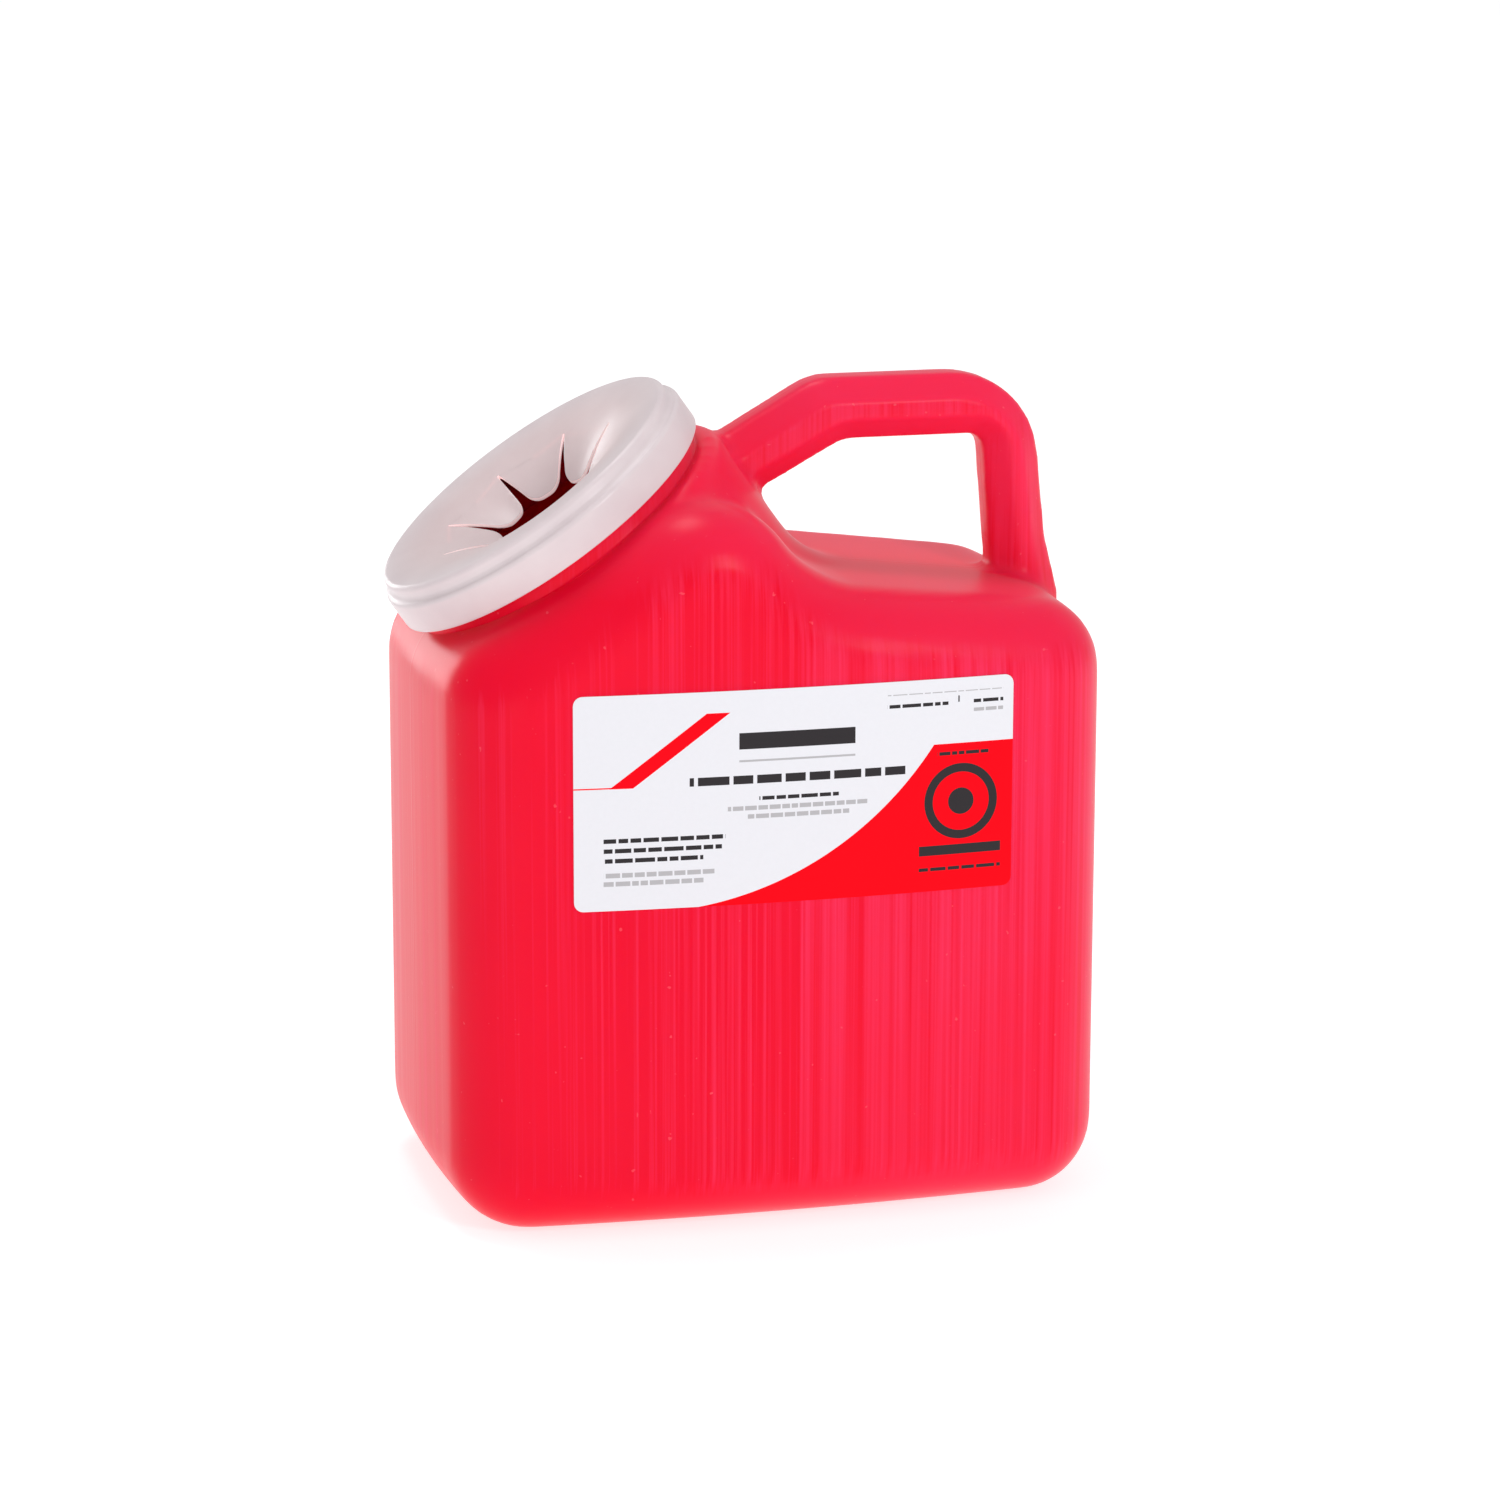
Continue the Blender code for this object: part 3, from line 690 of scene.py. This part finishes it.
edit(label)
bpy.ops.mesh.select_all(action="SELECT")
bpy.ops.transform.translate(value=(0, -LABEL_GAP, 0))
bpy.ops.mesh.extrude_region_move(TRANSFORM_OT_translate={"value": (0, -LABEL_SHEET, 0)})
bpy.ops.mesh.select_all(action="SELECT")
bpy.ops.mesh.normals_make_consistent(inside=False)
leave_edit_mode()
shade(label, 30)
print("label triangles", triangles(label))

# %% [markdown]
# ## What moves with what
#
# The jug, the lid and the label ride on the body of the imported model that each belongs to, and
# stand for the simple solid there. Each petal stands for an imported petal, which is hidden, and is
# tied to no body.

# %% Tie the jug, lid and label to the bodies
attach(jug, "jug")
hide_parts("jug")
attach(lid, "lid")
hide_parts("lid_collar")
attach(label, "jug")
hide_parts("front_label")
for name, petal in zip(petal_names, petals):
    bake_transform(petal)
    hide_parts(name)
print("pieces tied:", 3 + len(petals))

# %% [markdown]
# ## Finishes
#
# The plastics get their variation from noise measured in metres on the object itself, so a streak or
# a speck has a real size and stays where it is when a piece moves.

# %% Short ways to wire nodes
def new_material(name):
    material = bpy.data.materials.new(name)
    material.use_nodes = True
    return material, material.node_tree, material.node_tree.nodes["Principled BSDF"]


def add(tree, kind, **settings):
    """A node; keys that name an input set it, the others set the node's own properties."""
    node = tree.nodes.new(kind)
    for key, value in settings.items():
        title = key.replace("_", " ").title()
        if hasattr(node, key):
            setattr(node, key, value)
        else:
            node.inputs[title].default_value = value
    return node


def math_node(tree, operation, first, second=None, third=None):
    """A Math node whose inputs are numbers or sockets; returns its output."""
    node = tree.nodes.new("ShaderNodeMath")
    node.operation = operation
    for slot, given in enumerate((first, second, third)):
        if given is None:
            continue
        if isinstance(given, (int, float)):
            node.inputs[slot].default_value = given
        else:
            tree.links.new(given, node.inputs[slot])
    return node.outputs[0]


def scaled_place(tree, scale):
    """Object coordinates in metres, times a scale per axis."""
    place = tree.nodes.new("ShaderNodeTexCoord")
    mapping = tree.nodes.new("ShaderNodeMapping")
    mapping.inputs["Scale"].default_value = scale
    tree.links.new(place.outputs["Object"], mapping.inputs["Vector"])
    return mapping.outputs["Vector"]


def noise(tree, scale, detail=2.0, roughness=0.5):
    node = add(tree, "ShaderNodeTexNoise", detail=detail, roughness=roughness)
    node.inputs["Scale"].default_value = 1.0
    tree.links.new(scaled_place(tree, scale), node.inputs["Vector"])
    return node.outputs["Fac"]


def spread(tree, value, low, high, to_low, to_high):
    node = tree.nodes.new("ShaderNodeMapRange")
    for title, number in (("From Min", low), ("From Max", high), ("To Min", to_low), ("To Max", to_high)):
        node.inputs[title].default_value = number
    tree.links.new(value, node.inputs["Value"])
    return node.outputs["Result"]


def mix(tree, factor, first, second):
    node = tree.nodes.new("ShaderNodeMix")
    node.data_type = "RGBA"
    for socket, given in ((node.inputs[0], factor), (node.inputs[6], first), (node.inputs[7], second)):
        if isinstance(given, (int, float)):
            socket.default_value = given
        elif isinstance(given, tuple):
            socket.default_value = (*given, 1.0)
        else:
            tree.links.new(given, socket)
    return node.outputs[2]


def bump(tree, height, distance, strength=1.0, under=None):
    node = tree.nodes.new("ShaderNodeBump")
    node.inputs["Distance"].default_value = distance
    node.inputs["Strength"].default_value = strength
    tree.links.new(height, node.inputs["Height"])
    if under is not None:
        tree.links.new(under, node.inputs["Normal"])
    return node.outputs["Normal"]


def facing_value(tree, name):
    node = tree.nodes.new("ShaderNodeAttribute")
    node.attribute_name = name
    return node.outputs["Fac"]


print("node helpers ready")

# %% [markdown]
# ### Which way the surface faces
#
# Two effects depend on how the surface is turned: die lines fade where the jug's wall turns over, and
# the cut edges of the petals get painted light, a paler tone and a glow. The turn is measured once,
# in the rest position, and kept on the mesh, so it stays with the piece.

# %% Facing values kept on the meshes
level_face = jug.data.attributes.new("level_face", "FLOAT", "POINT")
level_face.data.foreach_set("value", [abs(vertex.normal.z) for vertex in jug.data.vertices])
for piece in [lid] + petals:
    lid_facing = piece.data.attributes.new("lid_facing", "FLOAT", "FACE")
    lid_facing.data.foreach_set("value", [abs(face.normal.dot(lid_axis)) for face in piece.data.polygons])
print("facing kept on", 1 + len([lid] + petals), "pieces")

# %% [markdown]
# ### Red plastic
#
# A parison is squeezed out of a round die, and every scratch in the die draws a fine line down the
# bottle. The lines are noise that is stretched a hundred times along the height. They change the
# colour a little, the roughness and the relief. They get stronger towards the handle, and fade where
# the wall turns over. The mould's two halves leave a thin ridge where they meet.

# %% Red plastic with die lines
DEEP_RED = (0.86, 0.0001, 0.026)
PALE_STREAK_RED = (0.93, 0.034, 0.118)
CLOUD_RED = (0.95, 0.006, 0.036)
DUST = (1.0, 0.22, 0.26)

red, tree, surface = new_material("jug_plastic")
fine = noise(tree, (650.0, 160.0, 3.0), detail=3.0, roughness=0.6)
broad = noise(tree, (95.0, 26.0, 1.2), detail=1.0)
cloud = noise(tree, (9.0, 9.0, 9.0), detail=2.0)
speck = noise(tree, (420.0, 420.0, 420.0), detail=1.0)
fine_share = math_node(tree, "MULTIPLY", fine, 0.7)
broad_share = math_node(tree, "MULTIPLY", broad, 0.3)
streak = math_node(tree, "ADD", fine_share, broad_share)
place = tree.nodes.new("ShaderNodeTexCoord")
axes = tree.nodes.new("ShaderNodeSeparateXYZ")
tree.links.new(place.outputs["Object"], axes.inputs["Vector"])
wall = spread(tree, facing_value(tree, "level_face"), 0.12, 0.50, 1.0, 0.0)
streak = math_node(tree, "MULTIPLY_ADD", math_node(tree, "SUBTRACT", streak, 0.5), wall, 0.5)
# The die lines grow paler and stronger towards the right and towards the top.
rightward_and_upward = spread(tree, axes.outputs["X"], -90 * MM, 50 * MM, -0.09, 0.10)
rightward_and_upward = math_node(tree, "ADD", rightward_and_upward, spread(tree, axes.outputs["Z"], 215 * MM, 240 * MM, 0.0, 0.09))
streak_depth = spread(tree, math_node(tree, "ADD", streak, rightward_and_upward), 0.46, 0.74, 0.0, 1.0)
tone = mix(tree, streak_depth, DEEP_RED, PALE_STREAK_RED)
tone = mix(tree, spread(tree, cloud, 0.35, 0.65, 0.0, 0.35), tone, CLOUD_RED)
dust = spread(tree, speck, 0.76, 0.80, 0.0, 0.25)
tone = mix(tree, dust, tone, DUST)
tree.links.new(tone, surface.inputs["Base Color"])
tree.links.new(spread(tree, streak, 0.35, 0.65, 0.29, 0.37), surface.inputs["Roughness"])
from_middle = math_node(tree, "ABSOLUTE", axes.outputs["Y"])
ridge = spread(tree, from_middle, 0.1 * MM, 1.1 * MM, 1.0, 0.0)
relief = bump(tree, streak, 0.09 * MM)
relief = bump(tree, ridge, 0.06 * MM, 0.6, relief)
tree.links.new(relief, surface.inputs["Normal"])
surface.inputs["Specular IOR Level"].default_value = 0.11
surface.inputs["Sheen Weight"].default_value = 0.12
surface.inputs["Sheen Roughness"].default_value = 0.3
surface.inputs["Subsurface Weight"].default_value = 0.3
surface.inputs["Subsurface Radius"].default_value = (1.0, 0.08, 0.08)
surface.inputs["Subsurface Scale"].default_value = 3.5 * MM
jug.data.materials.clear()
jug.data.materials.append(red)
print("red plastic nodes", len(tree.nodes))

# %% [markdown]
# ### Lid plastic
#
# The lid is unpigmented polyethylene. Light goes in, scatters and comes out a few millimetres away,
# and takes up some red from the jug behind it. So it gets subsurface scattering, and that red light
# is painted into its milky colour as a slight pink, deeper over the mouth than over the rim.
# Light that travels inside the sheet leaves it at the cut edges of the petals. A paler tone and a weak,
# constant glow are painted on those edges for that light; the real plastic gives off none of its own.

# %% Milky lid plastic
# Painted light: the lid's milky white with the jug's red light painted in as pink, deeper over the mouth.
PAINTED_PINK_OVER_MOUTH = ((0.72, 0.575, 0.585), (0.76, 0.62, 0.63))
PAINTED_PINK_OVER_RIM = ((0.72, 0.62, 0.645), (0.77, 0.675, 0.695))
# Painted light: the paler tone and the glow on the petals' cut edges stand for light leaving the sheet
# there.
PAINTED_EDGE_TONE = (1.0, 0.80, 0.80)
EDGE_LIGHT = (1.0, 0.62, 0.62)
MOUTH_REACH = 40.0 * MM

milky, tree, surface = new_material("lid_plastic")
mottle = noise(tree, (55.0, 55.0, 55.0), detail=3.0)
skin = noise(tree, (900.0, 900.0, 900.0), detail=2.0)
seat_offset = add(tree, "ShaderNodeVectorMath", operation="SUBTRACT")
place = tree.nodes.new("ShaderNodeTexCoord")
tree.links.new(place.outputs["Object"], seat_offset.inputs[0])
seat_offset.inputs[1].default_value = lid_seat
along = add(tree, "ShaderNodeVectorMath", operation="DOT_PRODUCT")
tree.links.new(seat_offset.outputs["Vector"], along.inputs[0])
along.inputs[1].default_value = lid_axis
whole = add(tree, "ShaderNodeVectorMath", operation="LENGTH")
tree.links.new(seat_offset.outputs["Vector"], whole.inputs[0])
whole_squared = math_node(tree, "POWER", whole.outputs["Value"], 2.0)
level_squared = math_node(tree, "POWER", along.outputs["Value"], 2.0)
from_axis = math_node(tree, "SQRT", math_node(tree, "SUBTRACT", whole_squared, level_squared))
backed = spread(tree, from_axis, 42 * MM, 57 * MM, 0.0, 1.0)
# Painted light: pink from the jug's red light, deeper and darker over the mouth than over the rim.
painted_pink_mouth = mix(tree, spread(tree, mottle, 0.3, 0.7, 0.0, 1.0), *PAINTED_PINK_OVER_MOUTH)
painted_pink_rim = mix(tree, spread(tree, mottle, 0.3, 0.7, 0.0, 1.0), *PAINTED_PINK_OVER_RIM)
tone = mix(tree, backed, painted_pink_mouth, painted_pink_rim)
# Painted light: faces seen edge-on inside the mouth get a paler tone and a glow.
edge_on = spread(tree, facing_value(tree, "lid_facing"), 0.15, 0.55, 1.0, 0.0)
inside_rim = math_node(tree, "LESS_THAN", from_axis, MOUTH_REACH)
painted_edge_light = math_node(tree, "MULTIPLY", edge_on, inside_rim)
tone = mix(tree, painted_edge_light, tone, PAINTED_EDGE_TONE)
glow = mix(tree, painted_edge_light, (0.0, 0.0, 0.0), EDGE_LIGHT)
tree.links.new(glow, surface.inputs["Emission Color"])
surface.inputs["Emission Strength"].default_value = 0.3
tree.links.new(tone, surface.inputs["Base Color"])
tree.links.new(spread(tree, mottle, 0.3, 0.7, 0.30, 0.38), surface.inputs["Roughness"])
tree.links.new(bump(tree, skin, 0.03 * MM), surface.inputs["Normal"])
surface.inputs["Specular IOR Level"].default_value = 0.45
surface.inputs["Subsurface Weight"].default_value = 0.3
surface.inputs["Subsurface Radius"].default_value = (1.0, 1.0, 1.0)
surface.inputs["Subsurface Scale"].default_value = 1.5 * MM
for piece in [lid] + petals:
    piece.data.materials.clear()
    piece.data.materials.append(milky)
print("lid plastic nodes", len(tree.nodes))

# %% [markdown]
# ### Printed label
#
# The print is drawn with rectangles, a few arcs and a slanted stripe, each a mask over the label's
# own width and height. A mask is given in millimetres: its middle, its width and its height, and for
# a line of type also how wide a letter is. Lines of type are shown as rows of plain dashes with word
# gaps, and the sign in the corner as a plain ring, so the label says nothing in particular.

# %% Masks for the print
def new_group(name, inputs, outputs):
    group = bpy.data.node_groups.new(name, "ShaderNodeTree")
    for title in inputs:
        group.interface.new_socket(name=title, in_out="INPUT", socket_type="NodeSocketFloat")
    for title in outputs:
        group.interface.new_socket(name=title, in_out="OUTPUT", socket_type="NodeSocketFloat")
    entry = group.nodes.new("NodeGroupInput")
    result = group.nodes.new("NodeGroupOutput")
    return group, entry, result


bar_inputs = ("X", "Z", "Centre X", "Centre Z", "Half Width", "Half Height")
bar, entry, result = new_group("printed_bar", bar_inputs, ("Mask",))
given = entry.outputs
inside_x = math_node(bar, "COMPARE", given["X"], given["Centre X"], given["Half Width"])
inside_z = math_node(bar, "COMPARE", given["Z"], given["Centre Z"], given["Half Height"])
bar.links.new(math_node(bar, "MULTIPLY", inside_x, inside_z), result.inputs["Mask"])

line_inputs = bar_inputs + ("Letter",)
line, entry, result = new_group("printed_line", line_inputs, ("Mask",))
frame_bar = line.nodes.new("ShaderNodeGroup")
frame_bar.node_tree = bar
for title in bar_inputs:
    line.links.new(entry.outputs[title], frame_bar.inputs[title])
letter_place = math_node(line, "DIVIDE", entry.outputs["X"], entry.outputs["Letter"])
row_shift = math_node(line, "MULTIPLY", entry.outputs["Centre Z"], 7.7)
letter_place = math_node(line, "ADD", letter_place, row_shift)
word = line.nodes.new("ShaderNodeTexVoronoi")
word.voronoi_dimensions = "1D"
word.feature = "DISTANCE_TO_EDGE"
word.inputs["Scale"].default_value = 0.2
line.links.new(letter_place, word.inputs["W"])
in_word = math_node(line, "GREATER_THAN", word.outputs["Distance"], 0.07)
line.links.new(math_node(line, "MULTIPLY", in_word, frame_bar.outputs["Mask"]), result.inputs["Mask"])
print("print groups:", bar.name, line.name)

# %% Print the label
INK = (0.035, 0.031, 0.034)
GREY_INK = (0.47, 0.46, 0.48)
PRINT_RED = (0.98, 0.0, 0.008)
PAPER = (0.80, 0.80, 0.845)
WORN_PAPER = (0.76, 0.76, 0.80)

film, tree, surface = new_material("label_film")
place = tree.nodes.new("ShaderNodeTexCoord")
axes = tree.nodes.new("ShaderNodeSeparateXYZ")
tree.links.new(place.outputs["Object"], axes.inputs["Vector"])
across_mm = math_node(tree, "MULTIPLY", axes.outputs["X"], 1000.0)
up_mm = math_node(tree, "MULTIPLY", axes.outputs["Z"], 1000.0)


def mask(group, centre_x, centre_z, wide, high, letter=None):
    node = tree.nodes.new("ShaderNodeGroup")
    node.node_tree = group
    tree.links.new(across_mm, node.inputs["X"])
    tree.links.new(up_mm, node.inputs["Z"])
    for title, number in zip(bar_inputs[2:], (centre_x, centre_z, wide / 2, high / 2)):
        node.inputs[title].default_value = number
    if letter:
        node.inputs["Letter"].default_value = letter
    return node.outputs["Mask"]


def either(masks):
    """One mask where any of these is set."""
    total = masks[0]
    for other in masks[1:]:
        total = math_node(tree, "MAXIMUM", total, other)
    return total


def distance_from(x, z):
    away_x = math_node(tree, "SUBTRACT", across_mm, x)
    away_z = math_node(tree, "SUBTRACT", up_mm, z)
    across_squared = math_node(tree, "POWER", away_x, 2.0)
    up_squared = math_node(tree, "POWER", away_z, 2.0)
    return math_node(tree, "SQRT", math_node(tree, "ADD", across_squared, up_squared))


beyond_arc = math_node(tree, "GREATER_THAN", distance_from(-51.3, 234.7), 119.8)
block = math_node(tree, "MULTIPLY", beyond_arc, mask(bar, 22.0, 141.5, 116.0, 51.0))
slant = math_node(tree, "MULTIPLY", math_node(tree, "SUBTRACT", up_mm, 158.0), 1.35)
from_slant = math_node(tree, "SUBTRACT", across_mm, slant)
stripe = math_node(tree, "MULTIPLY", math_node(tree, "COMPARE", from_slant, -60.2, 4.0), mask(
    bar, 0.0, 170.0, 200.0, 24.4
))
rules = either([block, mask(bar, -66.5, 158.1, 19.8, 0.45), stripe])

dark_lines = [
    mask(line, 0.0, 159.0, 74.8, 2.9, 1.9),
    mask(line, 0.2, 152.4, 27.6, 1.3, 0.95),
    mask(line, -45.8, 140.0, 41.3, 1.5, 1.1),
    mask(line, -46.4, 136.6, 40.0, 1.5, 1.1),
    mask(line, -49.6, 133.2, 33.7, 1.5, 1.1),
    mask(line, 41.7, 181.0, 21.7, 1.2, 1.0),
    mask(line, 67.0, 181.2, 10.7, 1.2, 1.0),
    mask(bar, 56.3, 182.3, 0.5, 2.2),
    mask(line, 58.0, 163.6, 18.4, 1.2, 0.8),
    mask(bar, 57.2, 130.2, 29.4, 3.4),
    mask(line, 57.2, 123.7, 29.4, 1.2, 1.1),
]
grey_lines = [
    mask(bar, -0.4, 165.4, 40.2, 0.7),
    mask(line, -0.2, 149.2, 48.4, 1.5, 0.8),
    mask(line, 0.0, 146.3, 35.4, 1.5, 0.8),
    mask(line, -47.7, 128.2, 37.5, 1.6, 0.9),
    mask(line, -49.6, 125.3, 33.8, 1.6, 0.9),
    mask(line, 67.0, 178.2, 10.6, 1.2, 0.8),
    mask(line, 51.7, 184.9, 41.5, 0.35, 0.9),
]
from_sign = distance_from(57.4, 146.9)
ring = math_node(tree, "COMPARE", from_sign, 11.6, 1.5)
dot = math_node(tree, "LESS_THAN", from_sign, 4.6)
ink_on_white = either(dark_lines + [mask(bar, -0.4, 172.2, 40.2, 5.6), ring, dot])
wear = noise(tree, (700.0, 700.0, 700.0), detail=2.0)
paper = mix(tree, spread(tree, wear, 0.3, 0.7, 0.0, 0.25), PAPER, WORN_PAPER)
tone = mix(tree, rules, paper, PRINT_RED)
tone = mix(tree, either(grey_lines), tone, GREY_INK)
tone = mix(tree, ink_on_white, tone, INK)
tree.links.new(tone, surface.inputs["Base Color"])
tree.links.new(spread(tree, wear, 0.3, 0.7, 0.42, 0.50), surface.inputs["Roughness"])
tree.links.new(bump(tree, wear, 0.01 * MM), surface.inputs["Normal"])
surface.inputs["Specular IOR Level"].default_value = 0.06
label.data.materials.clear()
label.data.materials.append(film)
print("label nodes", len(tree.nodes))

# %% [markdown]
# ## Light, floor and camera
#
# White surroundings suit this object: seen flat on, the red stays deep, and seen at a grazing angle
# the left end and the shoulder mirror the white and turn pink. The floor gives off some light of its
# own, so it stays white close to the jug. Four soft lamps add to that: one high at the front right, a
# weak low one at the front left, one above that gives the handle its highlights, and one at the back
# on the left.

# %% Studio
FLOOR_TONE = (0.58, 0.58, 0.58, 1)
FLOOR_GLOW = 0.70
SURROUND = 0.53
WHITE = (1.0, 1.0, 1.0, 1)

scene = bpy.context.scene
bpy.ops.mesh.primitive_plane_add(size=40.0, location=(0, 0, 0))
floor = bpy.context.object
floor.name = "floor"
plain, tree, surface = new_material("floor")
surface.inputs["Base Color"].default_value = FLOOR_TONE
surface.inputs["Roughness"].default_value = 0.9
surface.inputs["Specular IOR Level"].default_value = 0.1
surface.inputs["Emission Color"].default_value = WHITE
surface.inputs["Emission Strength"].default_value = FLOOR_GLOW
floor.data.materials.append(plain)

world = bpy.data.worlds.new("studio")
world.use_nodes = True
surround = world.node_tree.nodes["Background"]
surround.inputs["Color"].default_value = WHITE
surround.inputs["Strength"].default_value = SURROUND
scene.world = world


def soft_light(name, place, aim, size, power):
    light = bpy.data.lights.new(name, "AREA")
    light.shape = "SQUARE"
    light.size = size
    light.energy = power
    lamp = bpy.data.objects.new(name, light)
    lamp.location = place
    lamp.rotation_euler = (Vector(aim) - Vector(place)).to_track_quat("-Z", "Y").to_euler()
    scene.collection.objects.link(lamp)


middle = (0.0, 0.0, 0.15)
soft_light("front_key", (0.7, -2.0, 1.2), middle, 0.45, 14.0)
soft_light("front_left", (-1.2, -1.9, 0.1), middle, 0.6, 2.6)
soft_light("top", (-0.2, 0.4, 2.0), middle, 0.6, 10.0)
soft_light("left_back", (-0.95, 2.2, 0.4), middle, 0.8, 8.0)
print("lamps ready")

# %% Camera
CAMERA_PLACE = (-0.4303, -1.6446, 0.5426)
camera_data = bpy.data.cameras.new("camera")
camera_data.lens = 119.76
camera_data.sensor_width = 36.0
camera = bpy.data.objects.new("camera", camera_data)
turn_angle, lift, roll = math.radians(-14.795), math.radians(12.99), math.radians(0.119)
level_right = Vector((math.cos(turn_angle), math.sin(turn_angle), 0))
level_up = Vector((
    -math.sin(turn_angle) * math.sin(lift), math.cos(turn_angle) * math.sin(lift), math.cos(lift),
))
backwards = level_right.cross(level_up)
camera_right = level_right * math.cos(roll) + level_up * math.sin(roll)
camera_up = level_up * math.cos(roll) - level_right * math.sin(roll)
aim = Matrix((camera_right, camera_up, backwards)).transposed().to_4x4()
camera.matrix_world = Matrix.Translation(CAMERA_PLACE) @ aim
scene.collection.objects.link(camera)
scene.camera = camera
scene.view_settings.view_transform = "Standard"
print("camera looks along", [round(-v, 2) for v in backwards])
